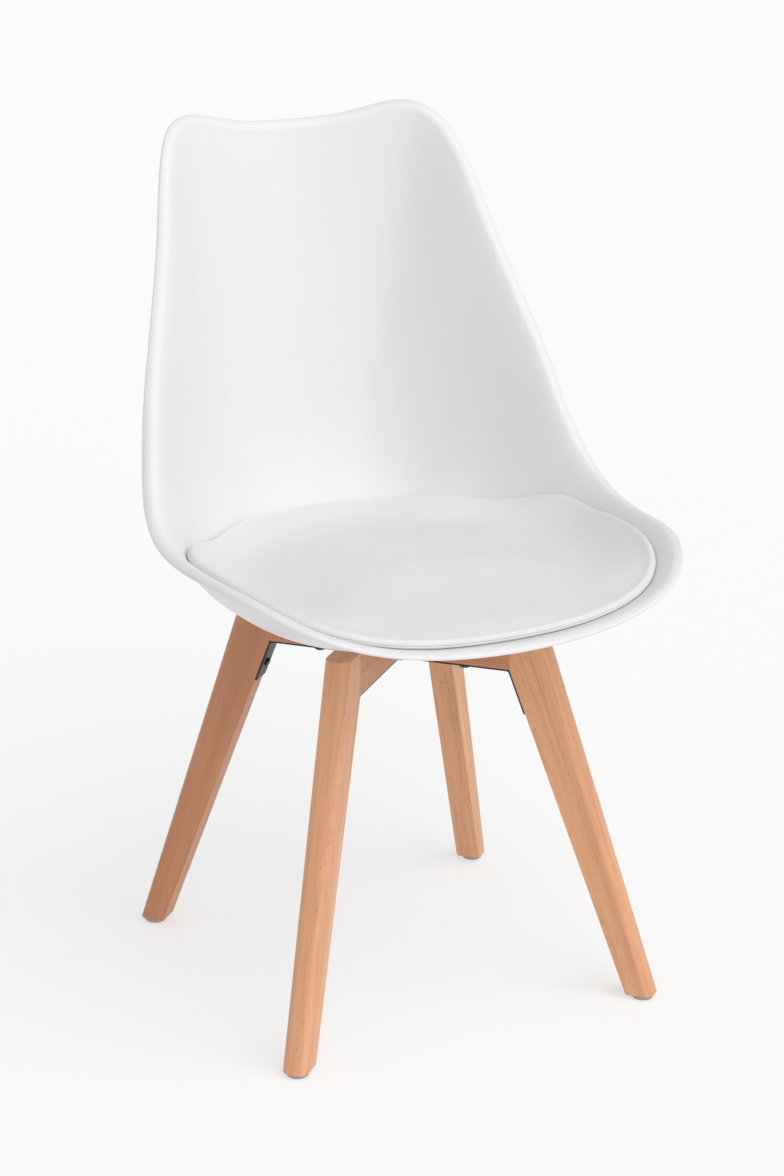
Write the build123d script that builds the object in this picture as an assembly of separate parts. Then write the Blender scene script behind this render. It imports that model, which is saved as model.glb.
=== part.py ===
from build123d import *
from math import atan2, comb, cos, radians, sin
import os

import numpy as np
from scipy.interpolate import CubicSpline, PchipInterpolator

# Dining chair: a moulded one-piece seat shell with a rolled rim, a padded seat,
# and two crossed beech leg frames tied by steel straps.
# Millimetres, +Z up, the sitter faces -Y, +X is to the right seen from the front.
# Pieces are built about the middle of the four feet, and moved at the end so that
# the origin is on the floor under the middle of the chair's box.

# ---------------------------------------------------------------- driving dimensions
PAN_HEIGHT = 395           # lowest point of the seat's upper surface, above the floor
SHELL_HALF_WIDTH = 229     # at the wings, without the rolled rim
# Seat shell. The centre line runs on the upper surface, from the front lip over the
# pan and up the back: (y, height above the pan). Its two ends are the first and last
# rim stations.
CENTRE_LINE = [(-190, 13), (-100, 2.5), (-10, 0), (70, 2), (122, 13),
               (160, 37), (185, 83), (203, 157), (217, 245), (229, 330)]
# Right half of the rim, front centre to top centre: (x as a share of the half width,
# y, height above the pan, share of the centre line's length it is drawn from).
RIM = [(0, -250, 25, 0.0), (0.42, -246, 31, 0.004), (0.751, -225, 51, 0.035),
       (0.925, -166, 69, 0.105), (0.987, -70, 70, 0.215), (1, 18, 87, 0.335),
       (0.921, 75, 169, 0.54), (0.803, 116, 261, 0.72), (0.707, 151, 341, 0.85),
       (0.638, 181, 397, 0.94), (0.541, 207, 424, 0.99), (0.306, 227, 417, 1.0),
       (0, 240, 410, 1.0)]
SHELL_WALL = 4.5
LIP_RADIUS = 10.5          # outside radius of the rolled rim
# How far the rim rolls over, in degrees, at shares of the rim from front to top.
LIP_TURN = [(0, 62), (0.1, 52), (0.2, 40), (0.32, 48), (0.5, 72), (1, 60)]
PAN_STEEPNESS = 7.0        # how late the seat's sides turn up
BACK_STEEPNESS = 3.0       # how late the back's sides turn forward
FLARE_SHARPNESS = 24       # how late the sides turn out again below the rim
FLARE_SLOPE = 0.5          # slope left at the rim, as a share of the even slope
SEAT_TO_BACK = (0.40, 0.62)       # shares of the rim between which seat turns into back
PAN_CENTRE = 0.33          # place of the pan's middle along the centre line

# Cushion
CUSHION_SIDE_MARGIN = 15   # from the shell's half width to the cushion's
CUSHION_FRONT_MARGIN = 12  # along the centre line, from the rim to the cushion
CUSHION_LENGTH = 406       # along the centre line
CUSHION_SQUARENESS = (3.4, 2.0)  # of the outline, at its front and at its back
CUSHION_THICKNESS = 40
CUSHION_EDGE = 9
CUSHION_BULGE = 0.7        # how far the side stands out, as a share of a half round
COVER_THICKNESS = 1.2
SOFT_CLEARANCE = 0.3
BOARD_LENGTH_X = 240
BOARD_LENGTH_Y = 176
BOARD_THICKNESS = 5
BOARD_CENTRE_Y = -18
BOARD_LIFT = 5.5           # underside of the board above the pan

# Leg frames, in the plane of each frame: u outward from the middle, z up
BOSS_HEIGHT = 18.5         # the shell's underside above the rails
RAIL_HEIGHT = 42
TIMBER = 25.5              # thickness of legs and rails across the frame
KNEE_U = 124               # inner corner between rail and leg
LEG_WIDTH_TOP = 45         # horizontal width of a leg at the knee
LEG_WIDTH_FOOT = 27
FOOT_U = 262               # middle of the foot
LEG_ROUND = 9              # radius on the leg's two outer long edges
FOOT_CHAMFER = 1.5
LAP_CLEARANCE = 0.1

# Fastenings
DOWEL_DIAMETER = 8
DOWEL_LENGTH = 36
DOWEL_INSET = 12           # dowel axis from the rail's top or underside
STRAP_THICKNESS = 2
STRAP_WIDTH = 24
STRAP_TAB = 46             # length of the strap down the leg
STRAP_BEND = 3
STRAP_SCREW_DOWN = 28.5    # screw's place down the tab
STEP_CLEARANCE = 2         # between the crossing straps' edges, before the step
STEP_RUN = 7               # length of the step from one level to the other
BOLT_U = 75                # place of a frame bolt along its rail
BOLT_DIAMETER = 6
BOLT_ENGAGEMENT = 12
BOLT_HEAD = (12.0, 3.6, 4.0)      # diameter, height, hexagon across flats
WASHER = (14.0, 1.2)              # diameter, thickness
INSERT_DIAMETER = 9.5
INSERT_LENGTH = 14
BOSS_DIAMETER = 24
WOOD_SCREW = (4.0, 20.0)          # shank diameter, length under the head
CENTRE_SCREW = (4.5, 34.0)
SCREW_HEAD = (8.5, 2.6)           # diameter, height
SCREW_RECESS = (4.7, 1.1)         # length and width of each arm of the cross
CUSHION_SCREW = 3.5
CUSHION_SCREW_AT = [(92, -18), (-92, -18), (0, -86), (0, 50)]
PAD_DIAMETER = 16
GLIDE_DIAMETER = 21
GLIDE_HEIGHT = 4
NAIL = (2.4, 18.0)                # diameter, length into the leg
NAIL_HEAD = (6.2, 1.2)            # diameter, thickness
NAIL_HEAD_UP = 1.2                # the head's underside above the glide's
END_CHAMFER = 0.8                 # on dowels, bolts and glides
BORE_CLEARANCE = 0.05             # radial, for pins, shanks and inserts
HOLE_CLEARANCE = 0.3              # radial, for holes that only let a shank by

LEG_AZIMUTHS = {"front_left": -45, "front_right": -135, "rear_left": 45, "rear_right": 135}
RAIL_TOP = PAN_HEIGHT - SHELL_WALL - BOSS_HEIGHT
RAIL_UNDERSIDE = RAIL_TOP - RAIL_HEIGHT
CUSHION_HALF_WIDTH = SHELL_HALF_WIDTH - CUSHION_SIDE_MARGIN


# ---------------------------------------------------------------- seat surface
def arc_stations(points):
    """Distances along a chain of points."""
    steps = np.linalg.norm(np.diff(np.array(points, float), axis=0), axis=1)
    return np.concatenate([[0.0], np.cumsum(steps)])


class SeatSurface:
    """The shell's upper surface over a flat map: p across, q along the centre line."""

    def __init__(self):
        rim = np.array([(share * SHELL_HALF_WIDTH, y, PAN_HEIGHT + height)
                        for share, y, height, _ in RIM])
        middle = [(y, PAN_HEIGHT + height) for y, height in CENTRE_LINE]
        line = [tuple(rim[0, 1:]), *middle, tuple(rim[-1, 1:])]
        marks = arc_stations(line)
        self.length = marks[-1]
        self.line = CubicSpline(marks, np.array(line, float))
        t = arc_stations(rim)
        t = t / t[-1]
        level = ((1, 0.0), (1, 0.0))
        flat = ((1, np.zeros(2)), (1, np.zeros(2)))
        self.rim_x = CubicSpline(t, rim[:, 0], bc_type="natural")
        self.rim_yz = CubicSpline(t, rim[:, 1:], bc_type=flat)
        shares = [station[3] * self.length for station in RIM]
        self.rim_q = CubicSpline(t, shares, bc_type=level)
        self.middle = PAN_CENTRE * self.length
        fine = np.linspace(0, 1, 801)
        self.t_of_angle = CubicSpline(self.angle(self.rim_x(fine), self.rim_q(fine)), fine)

    def angle(self, p, q):
        return np.arctan2(np.abs(p), self.middle - q)

    def line_point(self, q):
        """Centre line, carried on straight past its ends."""
        inside = np.clip(q, 0, self.length)
        return self.line(inside) + self.line(inside, 1) * (q - inside)[..., None]

    def rise(self, t, r):
        """Share of the rim's height over the centre line, at the share r of the way out."""
        start, end = SEAT_TO_BACK
        blend = np.clip((t - start) / (end - start), 0, 1)
        blend = blend * blend * (3 - 2 * blend)
        power = PAN_STEEPNESS + (BACK_STEEPNESS - PAN_STEEPNESS) * blend
        turn_out = (power - FLARE_SLOPE) / FLARE_SHARPNESS
        return (r ** power - turn_out * r ** FLARE_SHARPNESS) / (1 - turn_out)

    def point(self, p, q):
        """Point of the upper surface, for p of 0 or more."""
        t = self.t_of_angle(self.angle(p, q))
        edge = np.hypot(self.rim_x(t), self.rim_q(t) - self.middle)
        r = np.hypot(p, q - self.middle) / edge
        reach = self.rim_yz(t) - self.line_point(self.rim_q(t))
        yz = self.line_point(q) + reach * self.rise(t, r)[..., None]
        return np.concatenate([p[..., None], yz], axis=-1)

    def normal(self, p, q, step=0.05):
        """Unit normal, towards the sitter."""
        right = np.abs(p) + step
        across = self.point(right, q) - self.point(np.abs(right - 2 * step), q)
        across[..., 0] = 2 * step
        along = self.point(p, q + step) - self.point(p, q - step)
        n = np.cross(across, along)
        n[..., 0] = np.where(p < step / 2, 0, n[..., 0])
        return n / np.linalg.norm(n, axis=-1, keepdims=True)

    def raised(self, p, q, height):
        return self.point(p, q) + self.normal(p, q) * np.asarray(height)[..., None]

    def edge_frame(self, loop, s, step=1e-3):
        """Point, normal and outward direction along a loop of the map."""
        p, q = loop(s)
        ahead = self.point(*loop(np.minimum(s + step, 1)))
        behind = self.point(*loop(np.maximum(s - step, 0)))
        tangent = ahead - behind
        on_seam = (s < step / 2) | (s > 1 - step / 2)
        tangent[..., 1:] = np.where(on_seam[..., None], 0, tangent[..., 1:])
        normal = self.normal(p, q)
        outward = np.cross(tangent, normal)
        outward /= np.linalg.norm(outward, axis=-1, keepdims=True)
        return self.point(p, q), normal, outward


SEAT = SeatSurface()
lip_turn = PchipInterpolator(*np.array(LIP_TURN, float).T)


# ---------------------------------------------------------------- patches
DEGREE = 8
SECTOR_CUT = 0.6           # where a sector is cut in two, on its way from block to loop
NODES = (1 - np.cos(np.pi * np.arange(DEGREE + 1) / DEGREE)) / 2
BERNSTEIN = np.array([[comb(DEGREE, k) * u ** k * (1 - u) ** (DEGREE - k)
                       for k in range(DEGREE + 1)] for u in NODES])
TO_POLES = np.linalg.inv(BERNSTEIN)


def patch_pair(surface):
    """Two Bezier faces, right and mirrored left, through surface(u, v) on the unit square."""
    u, v = np.meshgrid(NODES, NODES, indexing="ij")
    samples = surface(u, v)
    poles = np.einsum("ik,jl,klc->ijc", TO_POLES, TO_POLES, samples)
    faces = []
    for side in (1, -1):
        grid = [[(side * x, y, z) for x, y, z in row] for row in poles]
        faces.append(Face.make_bezier_surface(grid))
    return faces


def ring_maps(loop, corners, block):
    """Maps of the right half of a loop's inside: a rectangular block round the pan's
    middle, and sectors from the block out to the loop. block is (half width, [q...])."""
    half_width, levels = block
    lo, hi = corners
    sides = [((0, levels[0]), (half_width, levels[0]), 0, lo)]
    cuts = np.linspace(lo, hi, len(levels))
    for k in range(len(levels) - 1):
        sides.append(((half_width, levels[k]), (half_width, levels[k + 1]), cuts[k], cuts[k + 1]))
    sides.append(((half_width, levels[-1]), (0, levels[-1]), hi, 1))

    def sector(a, b, s0, s1, v0, v1):
        def mapped(u, v):
            out = v0 + (v1 - v0) * v
            p_edge, q_edge = loop(s0 + (s1 - s0) * u)
            p = (a[0] + (b[0] - a[0]) * u) * (1 - out) + p_edge * out
            q = (a[1] + (b[1] - a[1]) * u) * (1 - out) + q_edge * out
            return p, q
        return mapped

    def tile(q0, q1):
        return lambda u, v: (half_width * u, q0 + (q1 - q0) * v)

    maps = [tile(levels[k], levels[k + 1]) for k in range(len(levels) - 1)]
    for side in sides:
        maps += [sector(*side, 0, SECTOR_CUT), sector(*side, SECTOR_CUT, 1)]
    spans = [(side[2], side[3]) for side in sides]
    return maps, spans


def closed_solid(faces):
    """One solid from faces that meet edge to edge."""
    solid = Solid(Shell(faces))
    if solid.volume < 0:
        solid = Solid(Shell([-face for face in solid.faces()]))
    return solid


# Half width of the block of patches in the middle, its levels as shares of the length,
# and the shares of the loop that its corners are joined to.
SHELL_BLOCK = (90, (0.10, 0.27, 0.45, 0.60, 0.82), (0.165, 0.885))
CUSHION_BLOCK = (80, (0.225, 0.45, 0.65, 0.81), (0.27, 0.82))


def rim_loop(s):
    return SEAT.rim_x(s), SEAT.rim_q(s)


def shell_skin():
    """The seat shell with its rolled rim, before bosses, pads and holes."""
    half_width, levels, corners = SHELL_BLOCK
    block = (half_width, [SEAT.length * share for share in levels])
    maps, spans = ring_maps(rim_loop, corners, block)
    faces = []
    for area in maps:
        for depth in (0, SHELL_WALL):
            faces += patch_pair(lambda u, v: SEAT.raised(*area(u, v), -depth * np.ones_like(u)))

    def rolled(s0, s1, part):
        def surface(u, v):
            s = s0 + (s1 - s0) * u
            point, normal, outward = SEAT.edge_frame(rim_loop, s)
            turn = np.radians(lip_turn(s))[..., None]
            w = v[..., None]
            axis = point - normal * LIP_RADIUS
            if part == "edge":
                half = SHELL_WALL / 2
                radial = outward * np.sin(turn) + normal * np.cos(turn)
                onward = outward * np.cos(turn) - normal * np.sin(turn)
                round_off = np.pi * w
                return (axis + radial * (LIP_RADIUS - half + half * np.cos(round_off))
                        + onward * half * np.sin(round_off))
            radius = LIP_RADIUS if part == "upper" else LIP_RADIUS - SHELL_WALL
            return axis + radius * (outward * np.sin(turn * w) + normal * np.cos(turn * w))
        return surface

    for s0, s1 in spans:
        for part in ("upper", "edge", "under"):
            faces += patch_pair(rolled(s0, s1, part))
    return closed_solid(faces)


# ---------------------------------------------------------------- places in the pan
def pan_height(x, y):
    """Height of the shell's upper surface in the pan."""
    q = np.linspace(0, 0.45 * SEAT.length, 1000)
    here = np.interp(y, SEAT.line(q)[:, 0], q)
    return float(SEAT.point(np.array([abs(x)]), np.array([here]))[0, 2])


BOARD_Z = PAN_HEIGHT + BOARD_LIFT
BOARD_TOP = BOARD_Z + BOARD_THICKNESS
BOLT_PLACES = [(azimuth, BOLT_U) for azimuth in LEG_AZIMUTHS.values()]


def upright(x, y, z, diameter, height):
    """Cylinder standing on z."""
    return Pos(x, y, z + height / 2) * Cylinder(diameter / 2, height)


def around(azimuth, u):
    return u * cos(radians(azimuth)), u * sin(radians(azimuth))


def screw_seat(x, y):
    """Height of the flat seat under the shell for a cushion screw's head."""
    return pan_height(x, y) - SHELL_WALL + HOLE_CLEARANCE


def seat_shell():
    shell = shell_skin()
    for azimuth, u in BOLT_PLACES:
        x, y = around(azimuth, u)
        top = pan_height(x, y) - SHELL_WALL / 2
        shell += upright(x, y, RAIL_TOP, BOSS_DIAMETER, top - RAIL_TOP)
        bore = INSERT_DIAMETER + 2 * BORE_CLEARANCE
        shell -= upright(x, y, RAIL_TOP, bore, INSERT_LENGTH + SHELL_WALL / 2)
    for x, y in CUSHION_SCREW_AT:
        base = pan_height(x, y) - SHELL_WALL / 2
        shell += upright(x, y, base, PAD_DIAMETER, BOARD_Z - base)
        shell -= upright(x, y, RAIL_TOP, CUSHION_SCREW + 2 * HOLE_CLEARANCE, RAIL_TOP)
        head_room = SCREW_HEAD[0] + 2 * HOLE_CLEARANCE
        shell -= upright(x, y, RAIL_TOP, head_room, screw_seat(x, y) - RAIL_TOP)
    return shell


# ---------------------------------------------------------------- cushion
CUSHION_MIDDLE = CUSHION_FRONT_MARGIN + CUSHION_LENGTH / 2


def squareness(forward):
    """Power of the outline in a direction: forward is 1 to the front, -1 to the back."""
    front, rear = CUSHION_SQUARENESS
    return rear + (front - rear) * (1 + forward) / 2


def cushion_reach(p, q):
    """0 in the middle of the cushion, 1 on its outline."""
    along = q - CUSHION_MIDDLE
    power = squareness(-along / (np.hypot(p, along) + 1e-9))
    across = np.abs(p / CUSHION_HALF_WIDTH) ** power
    return across + np.abs(along / (CUSHION_LENGTH / 2)) ** power


def cushion_loop(inset):
    half_width = CUSHION_HALF_WIDTH - inset
    half = CUSHION_LENGTH / 2 - inset

    def loop(s):
        side, forward = np.sin(np.pi * s), np.cos(np.pi * s)
        power = squareness(forward)
        reach = (np.abs(side / half_width) ** power + np.abs(forward / half) ** power) ** (-1 / power)
        return side * reach, CUSHION_MIDDLE - forward * reach
    return loop


def pillow(inset):
    """The cushion's form, shrunk by an inset all round."""
    loop = cushion_loop(inset)
    low = SOFT_CLEARANCE + inset
    half_width, levels, corners = CUSHION_BLOCK
    block = (half_width, [CUSHION_FRONT_MARGIN + CUSHION_LENGTH * share for share in levels])
    maps, spans = ring_maps(loop, corners, block)
    edge = CUSHION_EDGE - 2 * inset

    def crown(p, q):
        swell = CUSHION_THICKNESS - CUSHION_EDGE
        return low + edge + swell * (1 - cushion_reach(p, q))

    faces = []
    for area in maps:
        faces += patch_pair(lambda u, v: SEAT.raised(*area(u, v), low * np.ones_like(u)))
        faces += patch_pair(lambda u, v: SEAT.raised(*area(u, v), crown(*area(u, v))))
    for s0, s1 in spans:
        def side(u, v):
            s = s0 + (s1 - s0) * u
            point, normal, outward = SEAT.edge_frame(loop, s)
            top, angle = crown(*loop(s))[..., None], np.pi * v[..., None]
            radius = (top - low) / 2
            return (point + normal * (low + radius + radius * np.cos(angle))
                    + outward * radius * CUSHION_BULGE * np.sin(angle))
        faces += patch_pair(side)
    return closed_solid(faces)


def board_blank(margin, z0, z1):
    outline = Ellipse(BOARD_LENGTH_X / 2 + margin, BOARD_LENGTH_Y / 2 + margin)
    return Pos(0, BOARD_CENTRE_Y, z0) * extrude(outline, amount=z1 - z0)


def board_pocket():
    return board_blank(SOFT_CLEARANCE, PAN_HEIGHT - SHELL_WALL, BOARD_TOP + SOFT_CLEARANCE)


def cushion_cover():
    return pillow(0) - pillow(COVER_THICKNESS) - board_pocket()


def cushion_foam():
    return pillow(COVER_THICKNESS + BORE_CLEARANCE) - board_pocket()


def cushion_board():
    board = board_blank(0, BOARD_Z, BOARD_TOP)
    for x, y in CUSHION_SCREW_AT:
        bore = CUSHION_SCREW + 2 * BORE_CLEARANCE
        board -= upright(x, y, BOARD_Z, bore, BOARD_THICKNESS - HOLE_CLEARANCE)
    return board


# ---------------------------------------------------------------- leg frames
def frame_plate(points, thickness):
    """A plate standing in the frame's plane, from its (u, z) outline."""
    outline = Plane.XZ * Polyline(*points, close=True)
    return extrude(make_face(outline), amount=thickness / 2, both=True)


FOOT_IN = FOOT_U - LEG_WIDTH_FOOT / 2
FOOT_OUT = FOOT_U + LEG_WIDTH_FOOT / 2
LEG_DROP = RAIL_UNDERSIDE - GLIDE_HEIGHT
LEAN = atan2(FOOT_IN - KNEE_U, LEG_DROP)
OUTER_SLOPE = (FOOT_OUT - KNEE_U - LEG_WIDTH_TOP) / LEG_DROP
DOWEL_HEIGHTS = [RAIL_UNDERSIDE + DOWEL_INSET, RAIL_TOP - DOWEL_INSET]


def lying(u, z, diameter, length):
    """Cylinder along u, centred."""
    return Pos(u, 0, z) * Rot(0, 90, 0) * Cylinder(diameter / 2, length)


def strap_screw_plane():
    """On the strap's tab, with Z into the leg."""
    u = KNEE_U + STRAP_SCREW_DOWN * sin(LEAN) - STRAP_THICKNESS * cos(LEAN)
    z = RAIL_UNDERSIDE - STRAP_SCREW_DOWN * cos(LEAN) - STRAP_THICKNESS * sin(LEAN)
    return Plane(origin=(u, 0, z), x_dir=(0, 1, 0), z_dir=(cos(LEAN), 0, sin(LEAN)))


def drill(diameter, length):
    """Cylinder from Z = 0 up."""
    return upright(0, 0, 0, diameter, length)


def leg():
    top_out = KNEE_U + LEG_WIDTH_TOP - OUTER_SLOPE * RAIL_HEIGHT
    body = frame_plate([(KNEE_U, RAIL_TOP), (KNEE_U, RAIL_UNDERSIDE), (FOOT_IN, GLIDE_HEIGHT),
                        (FOOT_OUT, GLIDE_HEIGHT), (top_out, RAIL_TOP)], TIMBER)
    outward = Vector(OUTER_SLOPE, 0, -1).normalized()
    long_edges = body.edges().filter_by(lambda e: abs(abs(e.tangent_at(0.5).dot(outward)) - 1) < 1e-6)
    body = fillet(long_edges, LEG_ROUND)
    body = chamfer(body.faces().sort_by(Axis.Z)[0].edges(), FOOT_CHAMFER)
    for z in DOWEL_HEIGHTS:
        bore = DOWEL_DIAMETER + 2 * BORE_CLEARANCE
        body -= lying(KNEE_U, z, bore, DOWEL_LENGTH + 2 * HOLE_CLEARANCE)
    hole = drill(WOOD_SCREW[0] + 2 * BORE_CLEARANCE, WOOD_SCREW[1] + HOLE_CLEARANCE)
    body -= strap_screw_plane().location * hole
    body -= upright(FOOT_U, 0, GLIDE_HEIGHT, NAIL[0] + 2 * BORE_CLEARANCE, NAIL[1] + HOLE_CLEARANCE)
    return body


def rail(lap_from_top):
    body = Pos(0, 0, RAIL_UNDERSIDE + RAIL_HEIGHT / 2) * Box(2 * KNEE_U, TIMBER, RAIL_HEIGHT)
    lap_width, lap_depth = TIMBER + 2 * LAP_CLEARANCE, RAIL_HEIGHT / 2 + LAP_CLEARANCE
    lap_z = RAIL_TOP - lap_depth / 2 if lap_from_top else RAIL_UNDERSIDE + lap_depth / 2
    body -= Pos(0, 0, lap_z) * Box(lap_width, TIMBER + 2, lap_depth)
    for u in (-BOLT_U, BOLT_U):
        body -= upright(u, 0, RAIL_UNDERSIDE, BOLT_DIAMETER + 2 * HOLE_CLEARANCE, RAIL_HEIGHT)
    for u in (-KNEE_U, KNEE_U):
        for z in DOWEL_HEIGHTS:
            body -= lying(u, z, DOWEL_DIAMETER + 2 * BORE_CLEARANCE, DOWEL_LENGTH + 2 * HOLE_CLEARANCE)
    body -= upright(0, 0, RAIL_UNDERSIDE, CENTRE_SCREW[0] + 2 * BORE_CLEARANCE, CENTRE_SCREW[1])
    return body


def bent_band(points, thickness, width, bend):
    """Flat bar bent along a chain of (u, z) points, its middle on the chain."""
    chain = [Vector(u, z) for u, z in points]
    left, right, radii = [], [], []
    for k, point in enumerate(chain):
        before = (point - chain[k - 1]).normalized() if k else None
        after = (chain[k + 1] - point).normalized() if k + 1 < len(chain) else None
        before, after = before or after, after or before
        mitre = Vector(-(before + after).Y, (before + after).X).normalized()
        across = thickness / 2 / mitre.dot(Vector(-after.Y, after.X))
        left.append(point + mitre * across)
        right.append(point - mitre * across)
        inside_left = before.cross(after).Z > 0
        radii.append((bend, bend + thickness) if inside_left else (bend + thickness, bend))
    outline = make_face(Polyline(*left, *reversed(right), close=True))
    for k in range(1, len(chain) - 1):
        for corner, radius in ((left[k], radii[k][0]), (right[k], radii[k][1])):
            outline = fillet(outline.vertices().sort_by_distance(corner)[0], radius)
    return extrude(Plane.XZ * outline, amount=width / 2, both=True)


def strap(stepped):
    """Steel strap under a rail and down both legs. One of the two steps under the other."""
    half = STRAP_THICKNESS / 2
    z = RAIL_UNDERSIDE - half
    knee_run = half * (1 - sin(LEAN)) / cos(LEAN)
    knee = (KNEE_U + knee_run * sin(LEAN) - half * cos(LEAN), z)
    tab = (knee[0] + STRAP_TAB * sin(LEAN), z - STRAP_TAB * cos(LEAN))
    step_in = STRAP_WIDTH / 2 + STEP_CLEARANCE
    step_out = step_in + STEP_RUN
    right = [(step_in, z - STRAP_THICKNESS), (step_out, z)] if stepped else []
    right += [knee, tab]
    points = [(-u, h) for u, h in reversed(right)] + right
    body = bent_band(points, STRAP_THICKNESS, STRAP_WIDTH, STRAP_BEND)
    low = z - 3 * STRAP_THICKNESS
    for u in (-BOLT_U, BOLT_U):
        body -= upright(u, 0, low, BOLT_DIAMETER + 2 * HOLE_CLEARANCE, 5 * STRAP_THICKNESS)
    body -= upright(0, 0, low, CENTRE_SCREW[0] + 2 * HOLE_CLEARANCE, 5 * STRAP_THICKNESS)
    hole = Pos(0, 0, -STRAP_THICKNESS) * drill(WOOD_SCREW[0] + 2 * HOLE_CLEARANCE, 3 * STRAP_THICKNESS)
    for turn in (0, 180):
        body -= Rot(0, 0, turn) * strap_screw_plane().location * hole
    return body


# ---------------------------------------------------------------- fastenings
def dowel():
    body = lying(0, 0, DOWEL_DIAMETER, DOWEL_LENGTH)
    return chamfer(body.edges().filter_by(GeomType.CIRCLE), END_CHAMFER)


def wood_screw(diameter, length):
    """Shank up from Z = 0 to a point, pan head below, with a cross recess."""
    point = diameter * 1.2
    body = drill(diameter, length - point)
    body += Pos(0, 0, length - point / 2) * Cone(diameter / 2, 0.3, point)
    head_width, head_height = SCREW_HEAD
    head = Pos(0, 0, -head_height / 2) * Cylinder(head_width / 2, head_height)
    head = fillet(head.edges().sort_by(Axis.Z)[0], head_height * 0.45)
    slot = Box(*SCREW_RECESS, head_height)
    cross = slot + Rot(0, 0, 90) * slot
    return body + head - Pos(0, 0, -head_height) * cross


def frame_bolt():
    """Button-head bolt, its head's upper face at Z = 0."""
    head_width, head_height, key = BOLT_HEAD
    grip = WASHER[1] + STRAP_THICKNESS + RAIL_HEIGHT + BOLT_ENGAGEMENT
    head = Pos(0, 0, -head_height / 2) * Cylinder(head_width / 2, head_height)
    head = fillet(head.edges().sort_by(Axis.Z)[0], head_height * 0.5)
    socket = extrude(RegularPolygon(key / 2, 6, major_radius=False), amount=head_height * 0.6)
    head -= Pos(0, 0, -head_height) * socket
    shank = chamfer(drill(BOLT_DIAMETER, grip).edges().sort_by(Axis.Z)[-1], END_CHAMFER)
    return head + shank


def glide():
    disc = chamfer(drill(GLIDE_DIAMETER, GLIDE_HEIGHT).edges().sort_by(Axis.Z)[0], END_CHAMFER)
    return disc - nail(BORE_CLEARANCE)


def nail(grow=0.0):
    """Nail moulded into the glide, with its head inside the plastic."""
    width, height = NAIL_HEAD
    head = upright(0, 0, NAIL_HEAD_UP - grow, width + 2 * grow, height + 2 * grow)
    reach = GLIDE_HEIGHT - NAIL_HEAD_UP + NAIL[1]
    return head + upright(0, 0, NAIL_HEAD_UP, NAIL[0] + 2 * grow, reach)


def insert():
    sleeve = drill(INSERT_DIAMETER, INSERT_LENGTH)
    return sleeve - drill(BOLT_DIAMETER + 2 * BORE_CLEARANCE, INSERT_LENGTH)


def washer():
    width, thickness = WASHER
    return drill(width, thickness) - drill(BOLT_DIAMETER + 2 * HOLE_CLEARANCE, thickness)


def group(solids):
    return Compound([piece.solid() for piece in solids])


def placed(azimuth, shape, u=0.0, z=0.0):
    return Rot(0, 0, azimuth) * Pos(u, 0, z) * shape


# ---------------------------------------------------------------- the chair
def chair():
    nodes = {"seat_shell": seat_shell(), "cushion_cover": cushion_cover(),
             "cushion_foam": cushion_foam(), "cushion_board": cushion_board()}
    for name, azimuth in LEG_AZIMUTHS.items():
        nodes[f"leg_{name}"] = placed(azimuth, leg())
        nodes[f"glide_{name}"] = placed(azimuth, glide(), FOOT_U)
    first, second = LEG_AZIMUTHS["front_left"], LEG_AZIMUTHS["front_right"]
    nodes["rail_front_left"] = placed(first, rail(lap_from_top=True))
    nodes["rail_front_right"] = placed(second, rail(lap_from_top=False))
    nodes["strap_front_left"] = placed(first, strap(stepped=True))
    nodes["strap_front_right"] = placed(second, strap(stepped=False))

    everywhere = list(LEG_AZIMUTHS.values())
    under_strap = RAIL_UNDERSIDE - STRAP_THICKNESS
    under_washer = under_strap - WASHER[1]
    strap_screw = strap_screw_plane().location * wood_screw(*WOOD_SCREW)
    nodes["rail_dowels"] = group([placed(azimuth, dowel(), KNEE_U, z)
                                  for azimuth in everywhere for z in DOWEL_HEIGHTS])
    repeated = {"strap_screws": (strap_screw, 0, 0),
                "frame_washers": (washer(), BOLT_U, under_washer),
                "frame_bolts": (frame_bolt(), BOLT_U, under_washer),
                "threaded_inserts": (insert(), BOLT_U, RAIL_TOP),
                "glide_nails": (nail(), FOOT_U, 0)}
    for name, (shape, u, z) in repeated.items():
        nodes[name] = group([placed(azimuth, shape, u, z) for azimuth in everywhere])
    nodes["centre_screw"] = placed(0, wood_screw(*CENTRE_SCREW), 0, under_strap - STRAP_THICKNESS)
    screws = []
    for x, y in CUSHION_SCREW_AT:
        seat = screw_seat(x, y)
        grip = BOARD_TOP - 2 * HOLE_CLEARANCE - seat
        screws.append(Pos(x, y, seat) * wood_screw(CUSHION_SCREW, grip))
    nodes["cushion_screws"] = group(screws)
    return nodes


os.makedirs("parts", exist_ok=True)
pieces = chair()
middle_y = pieces["seat_shell"].bounding_box().center().Y
for node, piece in pieces.items():
    export_step(Pos(0, -middle_y, 0) * piece, f"parts/{node}.step")
print("moved along Y by", round(-middle_y, 3))
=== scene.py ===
from math import cos, radians, sin

import bpy
import numpy as np
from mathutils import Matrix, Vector
from mathutils.bvhtree import BVHTree
from mathutils.kdtree import KDTree


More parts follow.
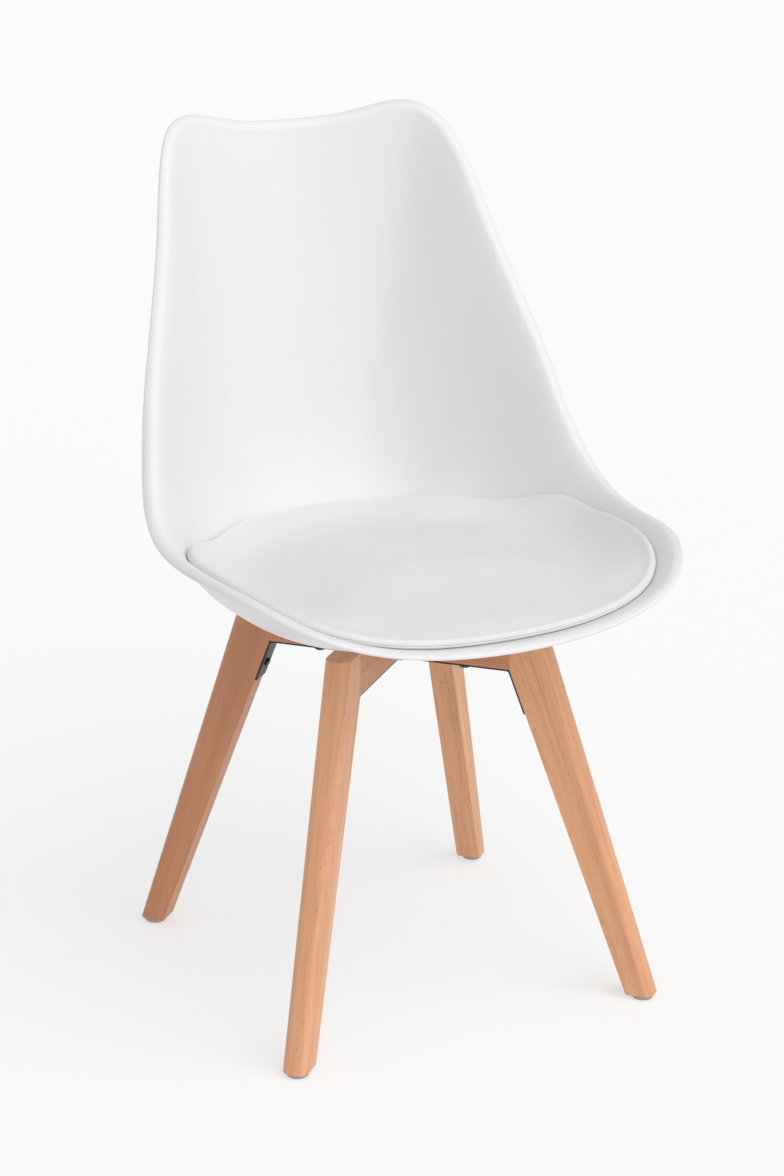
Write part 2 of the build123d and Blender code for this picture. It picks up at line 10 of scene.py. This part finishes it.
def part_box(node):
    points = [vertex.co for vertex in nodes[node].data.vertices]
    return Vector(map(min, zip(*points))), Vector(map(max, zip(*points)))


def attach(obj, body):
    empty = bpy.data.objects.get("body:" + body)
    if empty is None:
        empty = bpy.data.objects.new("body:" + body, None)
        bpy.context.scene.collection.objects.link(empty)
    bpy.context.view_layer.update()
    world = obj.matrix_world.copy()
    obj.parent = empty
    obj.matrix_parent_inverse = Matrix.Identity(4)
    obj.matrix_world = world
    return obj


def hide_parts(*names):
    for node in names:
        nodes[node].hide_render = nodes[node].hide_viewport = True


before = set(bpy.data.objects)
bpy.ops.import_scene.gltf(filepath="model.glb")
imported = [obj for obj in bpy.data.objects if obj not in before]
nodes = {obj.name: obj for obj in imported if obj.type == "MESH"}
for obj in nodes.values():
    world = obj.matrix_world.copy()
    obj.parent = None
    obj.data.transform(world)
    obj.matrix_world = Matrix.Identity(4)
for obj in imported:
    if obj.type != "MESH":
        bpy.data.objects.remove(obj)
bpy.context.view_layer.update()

# Dining chair. Metres, +Z up, the sitter faces -Y. The CAD pieces keep their shapes and
# get finishes here. The padded seat is a simulated mesh that stands for the cushion's CAD
# cover and foam.
scene = bpy.context.scene


# ---------------------------------------------------------------- shader helper
# A Mix node's sockets for colours, by number.
MIX_SHARE, MIX_A, MIX_B, MIX_RESULT = 0, 6, 7, 2


class Finish:
    """A Principled material and the node work behind it. Lengths are in metres."""

    def __init__(self, name, roughness, **fixed):
        self.material = bpy.data.materials.new(name)
        self.material.use_nodes = True
        self.tree = self.material.node_tree
        self.surface = self.tree.nodes["Principled BSDF"]
        self.surface.inputs["Roughness"].default_value = roughness
        for socket, value in fixed.items():
            self.surface.inputs[socket.replace("_", " ")].default_value = value

    def node(self, kind, inputs=(), **settings):
        made = self.tree.nodes.new(kind)
        for key, value in settings.items():
            setattr(made, key, value)
        for key, value in dict(inputs).items():
            if isinstance(value, bpy.types.NodeSocket):
                self.tree.links.new(value, made.inputs[key])
            else:
                made.inputs[key].default_value = value
        return made

    def place(self, scale=(1, 1, 1), turn=(0, 0, 0)):
        """Object coordinates turned, then scaled."""
        where = self.node("ShaderNodeTexCoord").outputs["Object"]
        turned = self.node("ShaderNodeMapping", {"Vector": where, "Rotation": turn})
        return self.node("ShaderNodeMapping", {"Vector": turned.outputs[0],
                                               "Scale": scale}).outputs[0]

    def noise(self, where, scale, detail=3.0, roughness=0.5, distortion=0.0):
        return self.node("ShaderNodeTexNoise", {
            "Vector": where, "Scale": scale, "Detail": detail, "Roughness": roughness,
            "Distortion": distortion}).outputs["Fac"]

    def cells(self, where, scale, feature="SMOOTH_F1"):
        return self.node("ShaderNodeTexVoronoi", {"Vector": where, "Scale": scale},
                         feature=feature).outputs["Distance"]

    def spread(self, value, low, high, to_low=0.0, to_high=1.0):
        """Maps low..high onto to_low..to_high, clamped."""
        return self.node("ShaderNodeMapRange", {
            "Value": value, "From Min": low, "From Max": high,
            "To Min": to_low, "To Max": to_high}).outputs[0]

    def product(self, a, b):
        return self.node("ShaderNodeMath", {0: a, 1: b}, operation="MULTIPLY").outputs[0]

    def mix(self, share, a, b):
        """Colour a, turning into colour b with the share, which is a socket."""
        a, b = (c if isinstance(c, bpy.types.NodeSocket) else (*c, 1) for c in (a, b))
        inputs = {MIX_SHARE: share, MIX_A: a, MIX_B: b}
        return self.node("ShaderNodeMix", inputs, data_type="RGBA").outputs[MIX_RESULT]

    def colour(self, value):
        if isinstance(value, bpy.types.NodeSocket):
            self.tree.links.new(value, self.surface.inputs["Base Color"])
        else:
            self.surface.inputs["Base Color"].default_value = (*value, 1)

    def roughen(self, value):
        self.tree.links.new(value, self.surface.inputs["Roughness"])

    def bump(self, *heights):
        """Each height is (value, depth in metres). Bumps are laid over each other."""
        normal = None
        for value, depth in heights:
            inputs = {"Height": value, "Distance": depth, "Strength": 1.0}
            if normal is not None:
                inputs["Normal"] = normal
            normal = self.node("ShaderNodeBump", inputs).outputs[0]
        self.tree.links.new(normal, self.surface.inputs["Normal"])
        return self


# ---------------------------------------------------------------- finishes
SHELL_WHITE = (0.745, 0.745, 0.748)
LEATHER_WHITE = (0.755, 0.745, 0.735)
BEECH_LIGHT = (0.78, 0.415, 0.225)
BEECH_DARK = (0.45, 0.180, 0.088)
BEECH_FLECK = (0.27, 0.095, 0.040)
BEECH_LENGTHENED = 0.045   # scale of the growth bands along the grain
FLECK_LENGTHENED = 0.11
FLECK_STRENGTH = 0.7
PLYWOOD_LENGTHENED = 0.08
PLYWOOD_LIGHT, PLYWOOD_DARK = (0.55, 0.36, 0.20), (0.38, 0.23, 0.12)
COAT_BLACK, COAT_SCUFFED = (0.012, 0.012, 0.013), (0.035, 0.035, 0.037)
STEEL_GREY = (0.10, 0.10, 0.105)
BRASS_YELLOW = (0.70, 0.52, 0.22)
GLIDE_GREY, GLIDE_WORN = (0.36, 0.36, 0.35), (0.27, 0.27, 0.265)
FOAM_LIGHT, FOAM_DARK = (0.80, 0.76, 0.62), (0.66, 0.61, 0.47)


def dimmed(colour, share):
    return tuple(c * share for c in colour)


def between(a, b, share):
    return tuple(start + (end - start) * share for start, end in zip(a, b))


def moulded_shell():
    f = Finish("shell_plastic", 0.42, Specular_IOR_Level=0.45)
    where = f.place()
    drift = f.noise(where, scale=9, detail=2)
    f.colour(f.mix(drift, dimmed(SHELL_WHITE, 0.985), SHELL_WHITE))
    fine = f.noise(where, scale=2600, detail=2, roughness=0.6)
    f.roughen(f.spread(f.noise(where, scale=60, detail=4), 0.3, 0.7, 0.36, 0.46))
    return f.bump((fine, 0.00002), (f.noise(where, scale=14, detail=1), 0.00006)).material


def leather():
    f = Finish("cushion_leather", 0.5, Specular_IOR_Level=0.4)
    where = f.place()
    grain = f.cells(where, scale=900)
    crease = f.noise(where, scale=420, detail=5, roughness=0.65, distortion=0.4)
    tone = f.spread(f.noise(where, scale=12, detail=3), 0.3, 0.7)
    shade = f.mix(tone, dimmed(LEATHER_WHITE, 0.97), LEATHER_WHITE)
    f.colour(f.mix(f.spread(grain, 0.1, 0.55), shade, dimmed(LEATHER_WHITE, 0.955)))
    f.roughen(f.spread(crease, 0.3, 0.7, 0.42, 0.56))
    swell = f.noise(where, scale=38, detail=2)
    return f.bump((grain, -0.00007), (crease, 0.00006), (swell, 0.00018)).material


def beech(name, turn, tone):
    """Lacquered beech with its grain along Z after the turn. tone is 0, pale, to 1, red."""
    f = Finish(name, 0.42, Specular_IOR_Level=0.42)
    along = f.place((1, 1, BEECH_LENGTHENED), turn)
    bands = f.noise(along, scale=62, detail=3, roughness=0.55, distortion=0.9)
    lines = f.noise(along, scale=420, detail=4, roughness=0.6, distortion=0.25)
    stretched = f.place((1, 1, FLECK_LENGTHENED), turn)
    flecks = f.spread(f.cells(stretched, scale=620, feature="F1"), 0.10, 0.22, 1.0, 0.0)
    scattered = f.spread(f.noise(stretched, scale=95, detail=2), 0.44, 0.60)
    fleck_share = f.product(flecks, scattered)
    light = between(BEECH_LIGHT, BEECH_DARK, 0.75 * tone)
    dark = between(BEECH_LIGHT, BEECH_DARK, 0.40 + 0.60 * tone)
    base = f.mix(f.spread(bands, 0.32, 0.70), light, dark)
    lined = f.mix(f.spread(lines, 0.50, 0.74, 0.0, 0.45), base, BEECH_DARK)
    f.colour(f.mix(f.product(fleck_share, FLECK_STRENGTH), lined, BEECH_FLECK))
    f.roughen(f.spread(lines, 0.3, 0.7, 0.36, 0.50))
    return f.bump((lines, 0.00005), (fleck_share, -0.00005)).material


def plywood():
    f = Finish("board_wood", 0.7)
    where = f.place((PLYWOOD_LENGTHENED, 1, 1))
    grain = f.noise(where, scale=180, detail=5, roughness=0.6, distortion=0.5)
    f.colour(f.mix(grain, PLYWOOD_LIGHT, PLYWOOD_DARK))
    return f.bump((grain, 0.0001)).material


def powder_coat():
    f = Finish("strap_steel", 0.5, Specular_IOR_Level=0.5)
    where = f.place()
    peel = f.noise(where, scale=700, detail=2)
    scuff = f.spread(f.noise(where, scale=120, detail=5, roughness=0.7), 0.62, 0.74)
    f.colour(f.mix(scuff, COAT_BLACK, COAT_SCUFFED))
    f.roughen(f.spread(peel, 0.3, 0.7, 0.38, 0.52))
    return f.bump((peel, 0.00006)).material


def plated_metal(name, colour):
    f = Finish(name, 0.32, Metallic=1.0)
    where = f.place()
    f.colour(f.mix(f.noise(where, scale=300, detail=4), colour, dimmed(colour, 0.7)))
    f.roughen(f.spread(f.noise(where, scale=900), 0.3, 0.7, 0.25, 0.42))
    return f.bump((f.noise(where, scale=1500, detail=2), 0.00003)).material


def glide_plastic():
    f = Finish("glide_plastic", 0.55)
    where = f.place()
    worn = f.spread(f.noise(where, scale=260, detail=5, roughness=0.7), 0.45, 0.7)
    f.colour(f.mix(worn, GLIDE_GREY, GLIDE_WORN))
    f.roughen(f.spread(worn, 0, 1, 0.5, 0.7))
    return f.bump((f.noise(where, scale=1200), 0.00006)).material


def foam():
    f = Finish("cushion_foam", 0.95)
    pores = f.cells(f.place(), scale=1500)
    f.colour(f.mix(pores, FOAM_LIGHT, FOAM_DARK))
    return f.bump((pores, -0.0003)).material


def finish_node(name, material):
    mesh = nodes[name].data
    mesh.materials.clear()
    mesh.materials.append(material)


def grain_turn(direction):
    """Rotation that brings the direction onto Z."""
    return Vector(direction).rotation_difference(Vector((0, 0, 1))).to_euler()


LEG_TOP_WIDTH = 0.045
# Each leg's corner of the chair, and how red its beech is.
LEGS = {"front_left": ((1, -1), 0.15), "front_right": ((-1, -1), 0.10),
        "rear_left": ((1, 1), 0.25), "rear_right": ((-1, 1), 0.95)}
# Each rail's and the dowels' material, grain direction and redness.
CROSSWISE = {"rail_front_left": ("beech_rail_left", (1, -1, 0), 0.9),
             "rail_front_right": ("beech_rail_right", (1, 1, 0), 0.8),
             "rail_dowels": ("beech_dowels", (1, -1, 0), 0.5)}
STRAPS = ("strap_front_left", "strap_front_right")
FASTENERS = ("strap_screws", "centre_screw", "cushion_screws", "frame_bolts",
             "frame_washers", "glide_nails")


def leg_direction(corner):
    """Down the leg, from the middle of its top to the middle of its foot."""
    low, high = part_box("leg_" + corner)
    glide_low, glide_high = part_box("glide_" + corner)
    foot = (glide_low + glide_high) / 2
    (side_x, side_y), _ = LEGS[corner]
    inner_x = low.x if side_x > 0 else high.x
    inner_y = low.y if side_y > 0 else high.y
    half = LEG_TOP_WIDTH / 2 * cos(radians(45))
    top = Vector((inner_x + side_x * half, inner_y + side_y * half, high.z))
    return foot - top


def dress_chair():
    glide, strap, steel = glide_plastic(), powder_coat(), plated_metal("screw_steel", STEEL_GREY)
    for corner, (_, tone) in LEGS.items():
        turn = grain_turn(leg_direction(corner))
        finish_node("leg_" + corner, beech("beech_" + corner, turn, tone))
        finish_node("glide_" + corner, glide)
    for name, (material, direction, tone) in CROSSWISE.items():
        finish_node(name, beech(material, grain_turn(direction), tone))
    for name in STRAPS:
        finish_node(name, strap)
    for name in FASTENERS:
        finish_node(name, steel)
    finish_node("threaded_inserts", plated_metal("insert_brass", BRASS_YELLOW))
    finish_node("seat_shell", moulded_shell())
    finish_node("cushion_board", plywood())
    finish_node("cushion_foam", foam())


dress_chair()


# ---------------------------------------------------------------- padded seat
SECTORS = 120              # round the seat
TOP_RINGS = 34
EDGE_RINGS = 14
SEAM_RINGS = 9
UNDER_RINGS = 16
REACH_LIMITS = (0.1, 0.3)  # the outline's distance from the middle lies between them
REACH_HALVINGS = 16
EDGE_INSET = 0.004         # middle of the rolled edge, in from the outline
EDGE_END = -1.2            # angle where the rolled edge ends, underneath
PROBE = 0.03               # rays start this far out from the cover
REST_GAP = 0.0003          # underside above the shell and the board
BOARD_MARGIN = 1.1         # square of how many of its half sides the board is cleared for
CROWN = 0.007              # the middle of the top above the CAD solid's
SEAM_ANGLE = -0.25         # on the rolled edge: 0 faces out, a right angle faces up
SEAM_HALF_WIDTH = 0.22     # of the same angle
SEAM_DEPTH = 0.0007
# The outline's fit on the shell's wall: a direction, from the side towards the back, how
# far it spreads, and how far the outline lies further out there, as a share.
WALL_FIT = [(radians(27), radians(22), -0.030), (radians(62), radians(16), 0.022)]

VOXEL = 0.0045
FABRIC = {"use_pressure": True, "uniform_pressure_force": 4.0, "tension_stiffness": 40,
          "compression_stiffness": 40, "bending_stiffness": 2}
SETTLE_FRAMES = 20
LARGEST_MOVE = 0.005
FACES_UP = (0.60, 0.95)    # height of the normal: held below the first, free above the second
NEIGHBOURS = 60            # simulated points whose moves a point follows
NEAR_BLUR = 2 * VOXEL      # added to their distances, so that no single one decides

DOWN = Vector((0, 0, -1))
TOP_SHARES = np.sin(np.linspace(0, np.pi / 2, TOP_RINGS))
UNDER_SHARES = np.linspace(1, 0, UNDER_RINGS + 1)[1:]
EDGE_ANGLES = np.unique(np.concatenate([
    np.linspace(np.pi / 2, EDGE_END, EDGE_RINGS + 1)[1:],
    SEAM_ANGLE + SEAM_HALF_WIDTH * np.linspace(-1, 1, SEAM_RINGS)]))[::-1]


def new_object(name, mesh):
    made = bpy.data.objects.new(name, mesh)
    scene.collection.objects.link(made)
    return made


def apply_modifiers(piece):
    graph = bpy.context.evaluated_depsgraph_get()
    mesh = bpy.data.meshes.new_from_object(piece.evaluated_get(graph))
    piece.modifiers.clear()
    piece.data = mesh


def coordinates(mesh):
    flat = np.empty(len(mesh.vertices) * 3)
    mesh.vertices.foreach_get("co", flat)
    return flat.reshape(-1, 3)


def normals(mesh):
    flat = np.empty(len(mesh.vertices) * 3)
    mesh.vertex_normals.foreach_get("vector", flat)
    return flat.reshape(-1, 3)


def ray_target(name):
    mesh = nodes[name].data
    return BVHTree.FromPolygons([v.co for v in mesh.vertices],
                                [tuple(f.vertices) for f in mesh.polygons])


def wall_fit(way):
    """Share by which the outline lies further out in a direction."""
    turn = np.arctan2(sin(way), abs(cos(way)))
    return sum(share * np.exp(-((turn - at) / spread) ** 2) for at, spread, share in WALL_FIT)


class SeatForm:
    """The padded seat's surface, found with rays on the CAD cover, shell and board. A
    place on it is a direction from the seat's middle and a reach that way."""

    def __init__(self):
        self.cover = ray_target("cushion_cover")
        self.shell = ray_target("seat_shell")
        low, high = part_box("cushion_cover")
        self.middle = (low + high) / 2
        self.above = high.z + PROBE
        low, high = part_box("cushion_board")
        self.board_middle = (low + high) / 2
        self.board_half = (high - low) / 2
        self.board_top = high.z

    def place(self, out, reach):
        return self.middle.x + out.x * reach, self.middle.y + out.y * reach

    def over(self, target, x, y):
        """Where a ray straight down meets the target, or None."""
        return target.ray_cast(Vector((x, y, self.above)), DOWN)[0]

    def reach(self, out):
        inside, outside = REACH_LIMITS
        for _ in range(REACH_HALVINGS):
            half = (inside + outside) / 2
            if self.over(self.cover, *self.place(out, half)):
                inside = half
            else:
                outside = half
        return inside - EDGE_INSET

    def top(self, out, reach, share):
        surface = self.over(self.cover, *self.place(out, reach * share))
        return surface - DOWN * CROWN * (1 - share ** 2) ** 2

    def rolled_edge(self, out, core):
        """Points round the edge, with the seam's groove, seen from its core."""
        points = []
        for angle in EDGE_ANGLES:
            away = out * cos(angle) - DOWN * sin(angle)
            hit = self.cover.ray_cast(core + away * PROBE, -away)[0]
            groove = max(0, 1 - ((angle - SEAM_ANGLE) / SEAM_HALF_WIDTH) ** 2) ** 2
            points.append(hit - away * SEAM_DEPTH * groove)
        return points

    def underside(self, x, y):
        across = (x - self.board_middle.x) / self.board_half.x
        along = (y - self.board_middle.y) / self.board_half.y
        if across ** 2 + along ** 2 < BOARD_MARGIN:
            return Vector((x, y, self.board_top + REST_GAP))
        return self.over(self.shell, x, y) - DOWN * REST_GAP

    def slid(self, point, reach, share):
        """The point moved out by a share, more towards the outline, along the shell."""
        flat = Vector((point.x - self.middle.x, point.y - self.middle.y, 0))
        moved = point + flat * share * (flat.length / reach) ** 2
        here = self.over(self.shell, point.x, point.y)
        there = self.over(self.shell, moved.x, moved.y)
        return moved - DOWN * (there.z - here.z) if here and there else moved

    def section(self, way):
        """Points from the middle of the top, over the edge, to the middle underneath."""
        out = Vector((cos(way), sin(way), 0))
        reach = self.reach(out)
        row = [self.top(out, reach, share) for share in TOP_SHARES]
        bottom = self.cover.ray_cast(Vector((*self.place(out, reach), 0)), -DOWN)[0]
        row += self.rolled_edge(out, (row[-1] + bottom) / 2)
        row += [self.underside(*self.place(out, reach * share)) for share in UNDER_SHARES]
        return [self.slid(point, reach, wall_fit(way)) for point in row]


def seat_mesh():
    """Rows of points round the seat between two shared points, its top's and underside's."""
    form = SeatForm()
    rows = [form.section(2 * np.pi * k / SECTORS) for k in range(SECTORS)]
    count = len(rows[0]) - 2
    verts = [rows[0][0], rows[0][-1]] + [point for row in rows for point in row[1:-1]]
    faces = []
    for k in range(SECTORS):
        here, there = 2 + k * count, 2 + (k + 1) % SECTORS * count
        faces.append((0, here, there))
        faces += [(here + j, here + j + 1, there + j + 1, there + j) for j in range(count - 1)]
        faces.append((here + count - 1, 1, there + count - 1))
    mesh = bpy.data.meshes.new("padded_seat")
    mesh.from_pydata([tuple(v) for v in verts], [], faces)
    mesh.update()
    return mesh


def settled_moves(mesh):
    """Inflates a remeshed copy as a tight cover over foam, its sides and underside held,
    and returns where its points were and how far each one moved."""
    copy = new_object("settling", mesh.copy())
    remesh = copy.modifiers.new("Remesh", "REMESH")
    remesh.mode = "VOXEL"
    remesh.voxel_size = VOXEL
    apply_modifiers(copy)
    start = coordinates(copy.data)
    held_below, free_above = FACES_UP
    up = np.clip((normals(copy.data)[:, 2] - held_below) / (free_above - held_below), 0, 1)
    held = copy.vertex_groups.new(name="held")
    held.add([int(index) for index in np.flatnonzero(up <= 0)], 1.0, "REPLACE")
    cloth = copy.modifiers.new("Cloth", "CLOTH")
    cloth.settings.vertex_group_mass = "held"
    cloth.settings.effector_weights.gravity = 0
    for key, value in FABRIC.items():
        setattr(cloth.settings, key, value)
    cloth.point_cache.frame_start = 1
    cloth.point_cache.frame_end = SETTLE_FRAMES
    for number in range(1, SETTLE_FRAMES + 1):
        scene.frame_set(number)
    apply_modifiers(copy)
    scene.frame_set(1)
    moved = coordinates(copy.data) - start
    bpy.data.objects.remove(copy)
    length = np.linalg.norm(moved, axis=1, keepdims=True)
    capped = moved * np.minimum(1, LARGEST_MOVE / np.maximum(length, 1e-9))
    return start, capped * up[:, None]


def settle(mesh):
    """Moves the mesh's points as the simulated points near them moved."""
    start, moves = settled_moves(mesh)
    tree = KDTree(len(start))
    for index, place in enumerate(start):
        tree.insert(place, index)
    tree.balance()
    places = coordinates(mesh)
    for k, place in enumerate(places.copy()):
        near = tree.find_n(place, NEIGHBOURS)
        weights = np.array([1 / (distance + NEAR_BLUR) ** 2 for _, _, distance in near])
        shift = (moves[[index for _, index, _ in near]] * weights[:, None]).sum(axis=0)
        places[k] = place + shift / weights.sum()
    mesh.vertices.foreach_set("co", places.ravel())
    mesh.update()


def padded_seat():
    mesh = seat_mesh()
    settle(mesh)
    piece = new_object("padded_seat", mesh)
    modifier = piece.modifiers.new("Subdivision", "SUBSURF")
    modifier.levels = modifier.render_levels = 1
    apply_modifiers(piece)
    for face in piece.data.polygons:
        face.use_smooth = True
    piece.data.materials.clear()
    piece.data.materials.append(leather())
    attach(piece, "root")
    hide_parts("cushion_cover", "cushion_foam")


padded_seat()


# ---------------------------------------------------------------- floor, light, camera
CAMERA_AZIMUTH = radians(-25.43)
CAMERA_ELEVATION = radians(18.74)
CAMERA_DISTANCE = 2.727
CAMERA_LENS = 86.0
SENSOR_WIDTH = 36
CAMERA_TARGET = Vector((0, 0.005647, 0.395))
AMBIENT = 0.6
FLOOR_SIZE = 30
FLOOR_GREY = (0.4, 0.4, 0.4)
FLOOR_GLOW = 0.54          # keeps the shadows on the floor faint
KEY_STRENGTH = 1.8
KEY_SPREAD = radians(70)
KEY_FROM = (0.35, -0.9, 0.95)


def stage():
    bpy.ops.mesh.primitive_plane_add(size=FLOOR_SIZE, location=(0, 0, 0))
    floor = bpy.context.object
    floor.name = "floor"
    pale = Finish("floor_paint", 0.8, Emission_Color=(1, 1, 1, 1),
                  Emission_Strength=FLOOR_GLOW)
    pale.colour(FLOOR_GREY)
    floor.data.materials.append(pale.material)
    world = bpy.data.worlds.new("studio")
    scene.world = world
    world.use_nodes = True
    background = world.node_tree.nodes["Background"]
    background.inputs["Color"].default_value = (1, 1, 1, 1)
    background.inputs["Strength"].default_value = AMBIENT


def soft_key():
    light = bpy.data.lights.new("key", "SUN")
    light.energy = KEY_STRENGTH
    light.angle = KEY_SPREAD
    made = bpy.data.objects.new("key", light)
    scene.collection.objects.link(made)
    made.rotation_euler = Vector(KEY_FROM).to_track_quat("Z", "Y").to_euler()


def camera():
    back = Vector((sin(CAMERA_AZIMUTH) * cos(CAMERA_ELEVATION),
                   -cos(CAMERA_AZIMUTH) * cos(CAMERA_ELEVATION), sin(CAMERA_ELEVATION)))
    data = bpy.data.cameras.new("camera")
    data.lens = CAMERA_LENS
    data.sensor_width = SENSOR_WIDTH
    made = bpy.data.objects.new("camera", data)
    scene.collection.objects.link(made)
    made.location = CAMERA_TARGET + back * CAMERA_DISTANCE
    made.rotation_euler = (-back).to_track_quat("-Z", "Y").to_euler()
    scene.camera = made


stage()
soft_key()
camera()
scene.view_settings.view_transform = "Standard"
